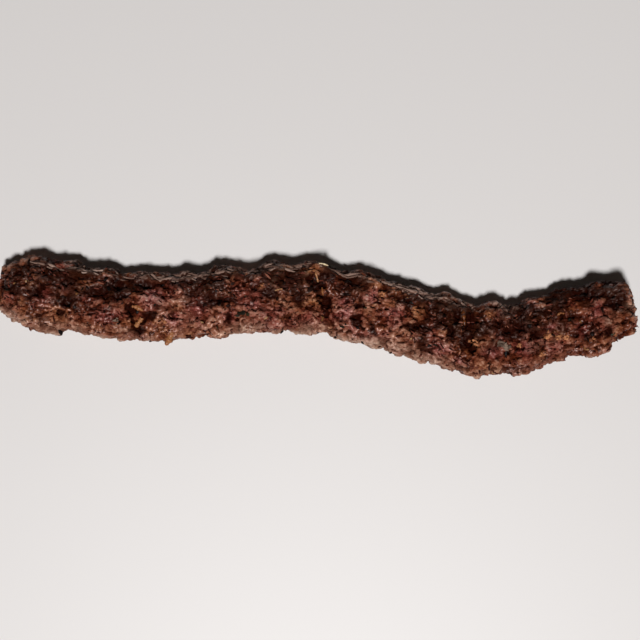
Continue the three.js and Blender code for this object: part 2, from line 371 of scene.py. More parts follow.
# Short strands of mince packed over the crust, and smaller bits in their gaps: how many, the ranges of
# their radius, length and height over the crust, and how far from the roll's direction they turn.
WORMS = {"amount": 6000, "radius": (0.4, 0.85), "length": (1.8, 5.5), "lift": (-0.5, 0.25), "spread": 0.6}
BITS = {"amount": 9000, "radius": (0.3, 0.6), "length": (0.4, 2.0), "lift": (-0.5, 0.05), "spread": 0.9}
FINEST_STEP = 0.2  # smaller grid steps count as this, so that no strand's window grows large
BARE = -9.0  # height given to crust that no strand or bit covers
DEEPEST_GAP = -0.6  # how far such crust sinks between them
BEDDING = 0.2  # how far all of them are pressed in
STRAND_STEPS, LUMP_STEPS = 5, 12  # grid steps over which a gap between strands or lumps is measured
BIG_FLAKES = {
    "size": 4.4,
    "stretch": 1.8,  # how many times as long as wide
    "height": 0.55,  # weight of the random height at which each stands
    "slope": 1.3,  # weight of its random slope
    "crack": 1.1,  # depth of the crack round it
    "width": 1.5,  # width of that crack
    "seed": 211,
}
SMALL_FLAKES = {
    "size": 2.0,
    "stretch": 1.6,
    "height": 0.35,
    "slope": 0.9,
    "crack": 0.35,
    "width": 0.6,
    "seed": 231,
}
# Wrinkles of two sizes: size of the swirl, how sharp their crest is, their weight and their seed.
WRINKLES = ((2.4, 5.0, 1.0, 271), (1.4, 3.6, 0.7, 281))
WRINKLE_STRETCH = 5.0  # how many times as long as wide
WARM_STRETCH = 1.5  # amber stretches are so many times as long as wide
# Where things fade in or out, from none or least to most, in millimetres.
STEAMED_WEAKER = (195.0, 225.0)  # along the roll: less of the near side steamed from here on
STEAMED_END = (LENGTH - 10.0, LENGTH - 26.0)
SKIN_END = (255.0, 235.0)  # along the roll: no skin dried to threads past here
BULGE_FOOT = (1.0, 5.0)  # above the table
BULGE_TOP = (15.0, 9.0)
# Slow swirls that make one stretch of crust differ from the next: size in millimetres, seed and layers.
STEAMED_SWIRL = (16.0, 61, 3)
STEAMED_BREAKS = (6.0, 371, 3)
OPEN_SWIRL = (8.0, 251, 2)
WIDE_CHAR_SWIRL = (22.0, 41, 4)
FINE_CHAR_SWIRL = (7.5, 47, 3)
WARM_SWIRL = (7.0, 71, 3)
ROSY_SWIRL = (9.0, 81, 3)
SKIN_SWIRL = (12.0, 67, 2)
SHADE_SWIRL = (12.0, 351, 2)
WET_SWIRL = (6.0, 361, 2)
CRACK_BREAKS = (2.5, 321)  # one layer
# Quick swirls that bend what is drawn on the crust: size, reach and seed of each.
CRACK_BENDS = ((4.0, 1.2, 301), (1.6, 0.7, 311))
PATCH_BENDS = ((7.0, 2.2, 331), (2.5, 1.2, 341))
BIG_FLAKE_BEND = (6.0, 1.6, 201)
SMALL_FLAKE_BEND = (2.4, 0.6, 221)
WRINKLE_BEND = (4.0, 0.8, 261)
LOWEST = 0.02  # no bit reaches lower than this above the table

# ---- the stage, in metres -----------------------------------------------------------------------
CAMERA_X, CAMERA_Y = 0.0019, -0.001
CAMERA_DISTANCE = 0.62
CAMERA_FOCUS_HEIGHT = 0.009  # height at which the frame is as wide as FRAME_WIDTH
FRAME_WIDTH = 0.3008
SENSOR = 36.0  # width of the camera's sensor in millimetres
FLOOR_HALF = 3.0
RIM_POWER = 0.35  # watts of the low light behind the roll
ROOM_COLOUR = (1.0, 0.74, 0.58, 1.0)  # linear: what warm walls send back
ROOM_STRENGTH = 0.019


# ---- repeatable noise ---------------------------------------------------------------------------
HASH_AXES = (0x27D4EB2D, 0x165667B1, 0x1B873593)
HASH_SALT = 0x9E3779B1
HASH_MIX = 0x85EBCA6B
HASH_LAST = 0xC2B2AE35
WORD = 0xFFFFFFFF  # the largest whole number of 32 bits


def chance(cells, seed):
    """Random numbers from 0 to 1, one for each whole-numbered cell: an integer hash of its three indices."""
    index = (cells.astype(np.int64) & WORD).astype(np.uint32)
    mixed = np.full(cells.shape[:-1], (seed * HASH_SALT) & WORD, np.uint32)
    for axis, factor in enumerate(HASH_AXES):
        mixed = mixed ^ (index[..., axis] * np.uint32(factor))
    mixed = mixed * np.uint32(HASH_MIX)
    mixed = (mixed ^ (mixed >> np.uint32(15))) * np.uint32(HASH_MIX)
    mixed = (mixed ^ (mixed >> np.uint32(13))) * np.uint32(HASH_LAST)
    return (mixed ^ (mixed >> np.uint32(16))) / (WORD + 1.0)


def smooth_step(low, high, value):
    """0 below low, 1 above high, and the cubic 3t^2 - 2t^3 between. With low above high it is 1 below high
    and 0 above low instead."""
    t = np.clip((value - low) / (high - low), 0.0, 1.0)
    return t * t * (3.0 - 2.0 * t)


def bell(distance, reach):
    """exp(-(distance / reach)^2)."""
    return np.exp(-((distance / reach) ** 2))


def swirl(points, size, seed):
    """Smooth noise from -1 to 1: cell-corner random values blended by smooth steps."""
    scaled = points / size
    cell = np.floor(scaled)
    fade = smooth_step(0.0, 1.0, scaled - cell)
    total = 0.0
    for corner in range(8):
        step = np.array([corner & 1, (corner >> 1) & 1, corner >> 2])
        weight = np.prod(np.where(step, fade, 1.0 - fade), axis=-1)
        total = total + weight * chance(cell + step, seed)
    return total * 2.0 - 1.0


def layered_swirl(points, size, seed, layers):
    """Swirls of halving size and halving weight, scaled back to about -1 to 1."""
    total, weight, full = 0.0, 1.0, 0.0
    for layer in range(layers):
        total = total + weight * swirl(points, size / 2**layer, seed + 17 * layer)
        full += weight
        weight *= 0.5
    return total / full * 1.6


def bent_points(points, *bends):
    """The points moved by each slow swirl (size, reach, seed) in turn, so that what is drawn on them loses
    its straight edges."""
    for size, reach, seed in bends:
        points = points + reach * np.stack([swirl(points, size, seed + a) for a in range(3)], axis=-1)
    return points


def scattered_round(points, size, seed):
    """For each of the 27 cells round a point: the cell, and the way from the point to the cell's own
    random spot, in cells."""
    scaled = points / size
    cell = np.floor(scaled)
    for step in np.ndindex(3, 3, 3):
        home = cell + (np.array(step) - 1)
        spot = home + np.stack([chance(home, seed + a) for a in range(3)], axis=-1)
        yield home, spot - scaled


def lumps(points, size, seed):
    """Packed rounded lumps: one less the squared distance to the nearest random spot, in cells."""
    nearest = np.full(points.shape[:-1], np.inf)
    for _, away in scattered_round(points, size, seed):
        nearest = np.minimum(nearest, (away**2).sum(axis=-1))
    return 1.0 - nearest


def chips(points, size, seed):
    """Packed angular chips: the random height and slope of each point's chip, and how far its edge is.

    A point belongs to the nearest random spot. The edge is where the two nearest are as far off.
    """
    nearest = np.full(points.shape[:-1], np.inf)
    second = nearest.copy()
    owner = np.zeros_like(points)
    offset = np.zeros_like(points)
    for home, away in scattered_round(points, size, seed):
        gap = (away**2).sum(axis=-1)
        closer = gap < nearest
        second = np.where(closer, nearest, np.minimum(second, gap))
        nearest = np.where(closer, gap, nearest)
        owner = np.where(closer[..., None], home, owner)
        offset = np.where(closer[..., None], away, offset)
    edge = (np.sqrt(second) - np.sqrt(nearest)) * size
    height = chance(owner, seed + 3) * 2 - 1
    tilt = sum((chance(owner, seed + 4 + a) * 2 - 1) * offset[..., a] for a in range(3))
    return height, tilt, edge


# ---- the smooth roll and its coarse relief, as in the solid -------------------------------------
def curve(values, place):
    """Values read at places between them, on a Catmull-Rom curve. With a, b, c and d the four values round
    the place and t the share of the way from b to c, it is
    b + t/2 (c - a + t (2a - 5b + 4c - d + t (3 (b - c) + d - a)))."""
    values = np.asarray(values, float)
    last = len(values) - 1
    place = np.clip(np.asarray(place, float), 0, last)
    i = np.minimum(np.floor(place).astype(int), last - 1)
    t = place - i
    if values.ndim > 1:
        t = t[..., None]
    a, b, c, d = (values[np.clip(i + k, 0, last)] for k in (-1, 0, 1, 2))
    return b + 0.5 * t * (c - a + t * (2 * a - 5 * b + 4 * c - d + t * (3 * (b - c) + d - a)))


def at_station(values, along):
    """A list of values at the stations, read at any distance along the roll."""
    return curve(values, np.asarray(along, float) / STATION_PITCH)


def signed_power(value, exponent):
    """The size of value raised to the exponent, with value's sign."""
    return np.sign(value) * np.abs(value) ** exponent


def roll_points(along, girth, angle):
    """A squarish oval (cos and sin raised to 2 / SECTION_POWER) carried along the swaying middle line,
    whose heading is taken from its sway a millimetre before and after."""
    along, girth, angle = np.broadcast_arrays(along, girth, angle)
    half = 0.5 * at_station(THICKNESS, along)
    heading = np.arctan2(at_station(SWAY, along + 1) - at_station(SWAY, along - 1), 2.0)
    across = -signed_power(np.cos(angle), 2 / SECTION_POWER) * at_station(HALF_WIDTH, along) * girth
    up = signed_power(np.sin(angle), 2 / SECTION_POWER) * half * girth
    share = along / LENGTH
    lift = LIFTED_END * smooth_step(LIFT_FROM, 1.0, share) ** CURL_POWER
    lift = lift + LIFTED_START * (1.0 - smooth_step(0.0, LIFT_UNTIL, share))
    x = along - LENGTH / 2 - across * np.sin(heading)
    y = at_station(SWAY, along) + across * np.cos(heading)
    return np.stack([x, y, half - SETTLE + lift + up], axis=-1)


def coarse_relief(points, along, angle):
    """Valleys of the presses and splits, and the crags and lumps that stand proud, fading out underneath."""
    across = -np.cos(angle)
    out = np.zeros(points.shape[:-1])
    for at, deep, reach, skew in PRESSES:
        out -= deep * bell(along - at - skew * across, reach)
    for at, deep, reach, middle, span, skew in SPLITS:
        out -= deep * bell(along - at - skew * across, reach) * bell(across - middle, span)
    for at, side, up, reach, size in CRAGS:
        away = points - roll_points(at, 1.0, math.atan2(2 * up - 1, -side))
        gap = np.sqrt(away[..., 0] ** 2 + away[..., 1] ** 2 + (CRAG_SQUAT * away[..., 2]) ** 2)
        out += reach * bell(gap, size)
    bent = bent_points(points, WARP)
    for size, height, seed in (LUMPS, CRUMBS):
        out += height * (lumps(bent, size, seed) - LUMP_MIDDLE)
    return out * on_top(angle)


def on_top(angle):
    """0 underneath, where the mince was pressed smooth, and 1 on top."""
    return smooth_step(SMOOTH_BELOW, ROUGH_ABOVE, np.sin(angle))


def row_shapes(rows_per_end, rows_between):
    """Distance along the roll and share of full girth of every ring.

    The ends are blunt domes, made by raising cos and sin to powers, and the rings between are evenly
    spaced.
    """
    turn = np.arange(1, rows_per_end + 1) / rows_per_end * (np.pi / 2)
    inset = BLUNT_END * (1 - np.abs(np.cos(turn)) ** (2 / STUB_POWER))
    girth = np.sin(turn) ** (2 / STUB_FULLNESS)
    middle = np.linspace(BLUNT_END, LENGTH - BLUNT_END, rows_between + 1)[1:-1]
    along = np.concatenate([inset, middle, LENGTH - inset[::-1]])
    return along[:, None], np.concatenate([girth, np.ones(len(middle)), girth[::-1]])[:, None]


def ring_angles(sides, spread):
    """Angles round a ring, from the near side over the top: even steps plus spread times their cosine,
    which puts them closer together on top."""
    even = 2 * np.pi * np.arange(sides) / sides
    return (even + spread * np.cos(even))[None, :]


def grid_normals(points):
    """Outward unit normals of a grid that closes on itself round each ring."""
    onward = np.gradient(points, axis=0)
    round_it = np.roll(points, -1, axis=1) - np.roll(points, 1, axis=1)
    normal = np.cross(onward, round_it)
    return normal / np.linalg.norm(normal, axis=-1, keepdims=True)


def crust_grid(rows_per_end, rows_between, sides, spread):
    """The roll pushed out along its normals by the coarse relief: its points, the distance along and the
    angle of each, and that relief."""
    along, girth = row_shapes(rows_per_end, rows_between)
    angle = ring_angles(sides, spread)
    smooth = roll_points(along, girth, angle)
    relief = coarse_relief(smooth, along, angle)
    return smooth + grid_normals(smooth) * relief[..., None], along, angle, relief


# ---- mince: cracks, chips and short bent strands packed over the crust --------------------------
def near_line(points, line):
    """Distance, seen from above, from each point to a line of straight steps."""
    nearest = np.full(points.shape[:-1], np.inf)
    for start, end in zip(np.array(line[:-1]), np.array(line[1:])):
        step = end - start
        share = np.clip(((points[..., :2] - start) @ step) / (step @ step), 0.0, 1.0)
        away = points[..., :2] - start - share[..., None] * step
        nearest = np.minimum(nearest, np.linalg.norm(away, axis=-1))
    return nearest


def patch_share(points, patches):
    """The largest of exp(-d^2) over the listed patches, d being the distance from a patch's middle with its
    length and width taken as 1."""
    share = np.zeros(points.shape[:-1])
    for x, y, length, width in patches:
        gap = np.hypot((points[..., 0] - x) / length, (points[..., 1] - y) / width)
        share = np.maximum(share, bell(gap, 1.0))
    return share


def tone_and_light_shift(points):
    """How much lighter or darker than the rest each point is painted, in part a painted light and shade: the
    sum of the listed patches, each times its own amount."""
    return sum(much * patch_share(points, [patch]) for *patch, much in TONE_AND_LIGHT_PATCHES)


def far_bulge(points, across):
    """How far the listed bulges stand out at each point: the sum of a bell along the roll for each, none
    near the table and none on top."""
    x, height = points[..., 0], points[..., 2]
    out = sum(reach * bell(x - at, half) for at, half, reach in FAR_BULGES)
    out = out * smooth_step(*BULGE_FOOT, height) * smooth_step(*BULGE_TOP, height)
    return out * smooth_step(0.3, 0.8, across)


def crack_depth(points, upward, pit_depth):
    """How deep the listed cracks and pits are at each point: the deepest of a bell across each crack's
    line, which is broken up along it, and of the pits."""
    rough = bent_points(points, *CRACK_BENDS)
    deep = pit_depth * patch_share(rough, PITS)
    broken = 1 - 0.8 * smooth_step(0.0, 0.5, swirl(points, *CRACK_BREAKS))
    for line, depth, reach in CRACKS:
        deep = np.maximum(deep, 1.5 * depth * broken * bell(near_line(rough, line), 1.25 * reach))
    return deep * upward


def along_roll(points, along, stretch):
    """The points in the roll's own directions, squeezed along it, so that what is drawn on them comes out
    that many times as long as wide."""
    turned = points.copy()
    turned[..., 0] = along / stretch
    turned[..., 1] -= at_station(SWAY, along)
    return turned


def flakes(points, along):
    """Flakes of two sizes, longer along the roll, standing at random heights and slopes. A crack runs round
    each, as deep as given at the edge and gone its width away, and those of the big ones are open in places
    only."""
    open_here = smooth_step(-0.5, 0.5, layered_swirl(points, *OPEN_SWIRL))
    out = 0.0
    for kind, bend, share in ((BIG_FLAKES, BIG_FLAKE_BEND, open_here), (SMALL_FLAKES, SMALL_FLAKE_BEND, 1.0)):
        bent = bent_points(along_roll(points, along, kind["stretch"]), bend)
        height, slope, edge = chips(bent, kind["size"], kind["seed"])
        out = out + kind["height"] * height + kind["slope"] * slope
        out = out - kind["crack"] * share * (1 - smooth_step(0.0, kind["width"], edge))
    return out


def wrinkles(points, along):
    """Thin creased ridges that run along the roll: one less the size of a long swirl times its sharpness, so
    that the ridge line, 1, lies where the swirl changes sign."""
    long = bent_points(along_roll(points, along, WRINKLE_STRETCH), WRINKLE_BEND)
    out = 0.0
    for size, sharpness, weight, seed in WRINKLES:
        ridge = 1 - np.minimum(np.abs(swirl(long, size, seed)) * sharpness, 1.0)
        out = np.maximum(out, weight * ridge)
    return out


def pack_strands(points, normals, amount, radius, length, lift, spread, random):
    """Height and random grain of the highest strand over each grid point.

    A strand is lift + flat * radius * sqrt(1 - (d / radius)^2) high, d being the distance in the surface
    from the point to the strand's middle line, which is bent like a shallow parabola. Strands lie along
    the roll, give or take spread radians. They are drawn at random places, so the loop is over strands,
    each on its own small window of the grid.
    """
    rows, sides = points.shape[:2]
    onward = np.gradient(points, axis=0)
    round_it = 0.5 * (np.roll(points, -1, axis=1) - np.roll(points, 1, axis=1))
    row_pitch = np.linalg.norm(onward, axis=-1)
    side_pitch = np.linalg.norm(round_it, axis=-1)
    area = (row_pitch * side_pitch).ravel()
    homes = random.choice(rows * sides, size=amount, p=area / area.sum())
    turn = random.normal(0, spread, amount)
    radii = random.uniform(*radius, amount)
    halves = 0.5 * random.uniform(*length, amount)
    lifts = random.uniform(*lift, amount)
    bends = random.uniform(-0.12, 0.12, amount)
    flats = random.uniform(0.7, 1.0, amount)
    shades = random.uniform(0, 1, amount)
    height = np.full((rows, sides), BARE)
    grain = np.zeros((rows, sides))
    strands = zip(homes, turn, radii, halves, lifts, bends, flats, shades)
    for home, spin, r, half, up, bend, flat, shade in strands:
        row, side = divmod(int(home), sides)
        down = int((half + r) / max(row_pitch[row, side], FINEST_STEP)) + 1
        wide = min(int((half + r) / max(side_pitch[row, side], FINEST_STEP)) + 1, sides // 3)
        first, last = max(row - down, 0), min(row + down + 1, rows)
        columns = np.arange(side - wide, side + wide + 1) % sides
        window = np.ix_(np.arange(first, last), columns)
        away = points[window] - points[row, side]
        normal = normals[row, side]
        tangent = onward[row, side] / row_pitch[row, side]
        other = np.cross(normal, tangent)
        along = away @ (math.cos(spin) * tangent + math.sin(spin) * other)
        beside = away @ (math.cos(spin) * other - math.sin(spin) * tangent) - bend * along**2
        past = np.maximum(np.abs(along) - half, 0.0)
        share = 1.0 - (beside**2 + past**2) / r**2
        swell = up + r * flat * np.sqrt(np.maximum(share, 0.0))
        old = height[window]
        taller = (share > 0) & (swell > old)
        height[window] = np.where(taller, swell, old)
        grain[window] = np.where(taller, shade, grain[window])
    return height, grain


def blurred(values, reach):
    """Box average over reach grid steps each way, wrapping round the rings and stopping at the ends."""
    padded = np.concatenate([values[:, -reach:], values, values[:, :reach]], axis=1)
    padded = np.pad(padded, ((reach, reach), (0, 0)), mode="edge")
    total = np.cumsum(np.cumsum(padded, axis=0), axis=1)
    total = np.pad(total, ((1, 0), (1, 0)))
    wide = 2 * reach + 1
    box = total[wide:, wide:] - total[:-wide, wide:] - total[wide:, :-wide] + total[:-wide, :-wide]
    return box / wide**2


# ---- meshes -------------------------------------------------------------------------------------
def new_piece(name, vertices, faces, material, fields):
    """A smooth-shaded mesh in metres from points in millimetres, riding on the roll's body. Each field is
    a number for every point, which the material reads."""
    mesh = bpy.data.meshes.new(name)
    mesh.from_pydata((vertices * MM).tolist(), [], faces)
    mesh.polygons.foreach_set("use_smooth", np.ones(len(mesh.polygons), bool))
    for key, values in fields.items():
        layer = mesh.attributes.new(key, "FLOAT", "POINT")
        layer.data.foreach_set("value", np.asarray(values, np.float32).ravel())
    mesh.materials.append(material)
    mesh.update()
    piece = bpy.data.objects.new(name, mesh)
    bpy.context.scene.collection.objects.link(piece)
    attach(piece, BODY)
    return piece


def closed_grid_faces(rows, sides):
    """Quads between neighbouring rings and a fan at each pole; the poles are the last two points."""
    row = np.arange(rows - 1)[:, None] * sides
    side = np.arange(sides)[None, :]
    following = (side + 1) % sides
    quads = np.stack([row + side, row + sides + side, row + sides + following, row + following], axis=-1)
    start, end = rows * sides, rows * sides + 1
    ring = np.arange(sides)
    after = (ring + 1) % sides
    first = np.stack([np.full(sides, start), ring, after], axis=-1)
    top = (rows - 1) * sides
    last = np.stack([np.full(sides, end), top + after, top + ring], axis=-1)
    return quads.reshape(-1, 4).tolist() + first.tolist() + last.tolist()


def ball(steps):
    """Points and triangles of an icosahedron whose faces are split into four, steps times."""
    g = (1 + 5**0.5) / 2
    corners = [(-1, g, 0), (1, g, 0), (-1, -g, 0), (1, -g, 0), (0, -1, g), (0, 1, g), (0, -1, -g), (0, 1, -g)]
    corners += [(g, 0, -1), (g, 0, 1), (-g, 0, -1), (-g, 0, 1)]
    faces = [(0, 11, 5), (0, 5, 1), (0, 1, 7), (0, 7, 10), (0, 10, 11), (1, 5, 9), (5, 11, 4), (11, 10, 2)]
    faces += [(10, 7, 6), (7, 1, 8), (3, 9, 4), (3, 4, 2), (3, 2, 6), (3, 6, 8), (3, 8, 9), (4, 9, 5)]
    faces += [(2, 4, 11), (6, 2, 10), (8, 6, 7), (9, 8, 1)]
    points, faces = np.array(corners, float), np.array(faces)
    for _ in range(steps):
        edges = np.sort(np.concatenate([faces[:, [0, 1]], faces[:, [1, 2]], faces[:, [2, 0]]]), axis=1)
        pairs, which = np.unique(edges, axis=0, return_inverse=True)
        a, b, c = (which.ravel() + len(points)).reshape(3, -1)
        points = np.concatenate([points, points[pairs].mean(axis=1)])
        i, j, k = faces.T
        faces = np.concatenate([np.stack(f, axis=1) for f in ((i, a, c), (j, b, a), (k, c, b), (a, b, c))])
    return points / np.linalg.norm(points, axis=1, keepdims=True), faces


def scattered(homes, normals, size, shape, sink, random, steps=1, tilt=0.35, wander=0.6):
    """One lumpy bit at each home: a ball stretched to shape times its own size, squashed by the mean of
    four sine waves and laid down with its long side roughly along the roll, tilted a little and sunk by a
    share of its height. size is a range to draw from, or the size of each bit."""
    points, faces = ball(steps)
    count = len(homes)
    sizes = random.uniform(*size, (count, 1, 1)) if isinstance(size, tuple) else size
    stretch = random.uniform(*np.array(shape).T, (count, 3))[:, None, :]
    knobs = random.normal(0, 1, (count, 4, 3))
    phase = random.uniform(0, 6.28, (count, 1, 4))
    wave = np.sin(np.einsum("pk,nwk->npw", points, knobs * 2.2) + phase).mean(axis=2)
    local = points[None] * (1 + 0.45 * wave[..., None]) * sizes * stretch
    up = normals + random.normal(0, tilt, (count, 3))
    up /= np.linalg.norm(up, axis=1, keepdims=True)
    along = np.array([1.0, 0.0, 0.0]) + random.normal(0, wander, (count, 3))
    along -= (along * up).sum(axis=1, keepdims=True) * up
    along /= np.linalg.norm(along, axis=1, keepdims=True)
    turned = local @ np.stack([along, np.cross(up, along), up], axis=1)
    lift = random.uniform(*sink, (count, 1, 1)) * sizes * stretch[..., 2:] * normals[:, None]
    vertices = (homes[:, None] + turned + lift).reshape(-1, 3)
    vertices[:, 2] = np.maximum(vertices[:, 2], LOWEST)
    every = (faces[None] + len(points) * np.arange(count)[:, None, None]).reshape(-1, 3)
    grain = np.repeat(random.uniform(0, 1, count), len(points))
    return vertices, every.tolist(), grain


def clusters(places, count, random):
    """Each place (x, y, size) as count smaller ones scattered close round it."""
    spots = np.repeat(np.array(places), count, axis=0)
    spots[:, :2] += random.normal(0, 0.45, (len(spots), 2)) * spots[:, 2:]
    spots[:, 2] *= random.uniform(0.3, 0.55, len(spots))
    return spots.tolist()


def strand(route, radius, rings=22, sides=8):
    """A bent tube with pointed ends along a Catmull-Rom curve through the route's points. Its girth swells
    as the square root of sin(pi * share of the way along it) and wavers a little, and it is flatter than
    it is wide."""
    route = np.array(route, float)
    middle = curve(route, np.linspace(0, len(route) - 1, rings))
    heading = np.gradient(middle, axis=0)
    heading /= np.linalg.norm(heading, axis=1, keepdims=True)
    beside = np.cross(heading, (0.0, 0.0, 1.0))
    beside /= np.linalg.norm(beside, axis=1, keepdims=True)
    over = np.cross(beside, heading)
    share = np.linspace(0, 1, rings)
    waver = 1 + 0.25 * np.sin(9 * share + route[0, 0]) + 0.2 * np.sin(23 * share + route[0, 1])
    girth = radius * np.sqrt(np.sin(np.pi * (0.04 + 0.92 * share))) * waver
    turn = (2 * np.pi * np.arange(sides) / sides)[None, :, None]
    ring = np.cos(turn) * beside[:, None] + 0.7 * np.sin(turn) * over[:, None]
    body = middle[:, None] + girth[:, None, None] * ring
    points = np.concatenate([body.reshape(-1, 3), middle[:1], middle[-1:]])
    points[:, 2] = np.maximum(points[:, 2], LOWEST)
    return points, closed_grid_faces(rings, sides)


def joined(parts):
    """Several meshes as one: their points one after another, and their faces renumbered to suit."""
    points, faces, start = [], [], 0
    for vertices, polygons in parts:
        points.append(vertices)
        faces += [tuple(int(i) + start for i in polygon) for polygon in polygons]
        start += len(vertices)
    return np.concatenate(points), faces


# ---- materials ----------------------------------------------------------------------------------
MEAT_IOR = 1.42
# Patterns on the mince, in millimetres.
GRAIN_WIDTH = 1.0
CREASE_SHARE = 0.16  # how far the crease round a grain reaches into it, as a share of its width
FIBRE_WIDTH = 0.55
WANDER_SIZE, WANDER_REACH = 2.0, 1.6  # of the noise that bends the grains
GRIT_DEPTH = 0.35
FAT_TINT = (1.0, 0.66, 0.56, 1.0)  # warm tint of what fat reflects
# Shades of the mince from its darkest grains to its lightest, where it is plain brown, where fat browned
# to amber, where it stayed rosy and where it only steamed.
BROWN_SHADES = (
    (0.0, "#290900"),
    (0.25, "#4d1c08"),
    (0.5, "#743c26"),
    (0.7, "#905a43"),
    (0.85, "#a8755e"),
    (1.0, "#c1967f"),
)
AMBER_SHADES = (
    (0.0, "#260801"),
    (0.25, "#491c0d"),
    (0.5, "#7c4426"),
    (0.7, "#99613e"),
    (0.85, "#b37e5d"),
    (1.0, "#c99f82"),
)
ROSY_SHADES = (
    (0.0, "#280703"),
    (0.25, "#4d1611"),
    (0.5, "#7e3a33"),
    (0.7, "#985852"),
    (0.85, "#ab766c"),
    (1.0, "#bf968a"),
)
STEAMED_SHADES = ((0.0, "#46271b"), (0.3, "#815645"), (0.55, "#a7806c"), (1.0, "#d9baa5"))
# Fields of the crust that the mince's colours and gloss read, each from 0 to 1.
FIELDS = ("grain", "char", "hollow", "crest", "swell", "pale", "warm", "rosy", "thread", "gloss")
# Numbers of a colour Mix node's two colour inputs and of its colour output.
MIX_UNDER, MIX_OVER, MIX_RESULT = 6, 7, 2


def linear(hex_colour):
    """An sRGB hex colour as linear red, green, blue and alpha: v / 12.92 for dark values, and
    ((v + 0.055) / 1.055)^2.4 for the rest."""
    parts = [int(hex_colour[i : i + 2], 16) / 255 for i in (1, 3, 5)]
    return [v / 12.92 if v <= 0.04045 else ((v + 0.055) / 1.055) ** 2.4 for v in parts] + [1.0]


def fill(node, settings):
    """Each setting goes to the node's property of that name or to its input of that name or number, where
    another node's output is linked and anything else is the input's value. stops are a colour ramp's
    places and hex colours."""
    for key, value in settings.items():
        if isinstance(value, bpy.types.NodeSocket):
            node.id_data.links.new(value, node.inputs[key])
        elif key == "stops":
            elements = node.color_ramp.elements
            while len(elements) < len(value):
                elements.new(0.5)
            for element, (place, colour) in zip(elements, value):
                element.position = place
                element.color = linear(colour)
        elif isinstance(key, str) and hasattr(node, key):
            setattr(node, key, value)
        else:
            node.inputs[key].default_value = value


def add(tree, kind, settings, output=0):
    """Adds a node with its settings and links, and gives back one of its outputs."""
    node = tree.nodes.new(kind)
    fill(node, settings)
    return node.outputs[output]


def new_material(name):
    """A new material, its tree and its one shader."""
    material = bpy.data.materials.new(name)
    material.use_nodes = True
    tree = material.node_tree
    return material, tree, tree.nodes["Principled BSDF"]


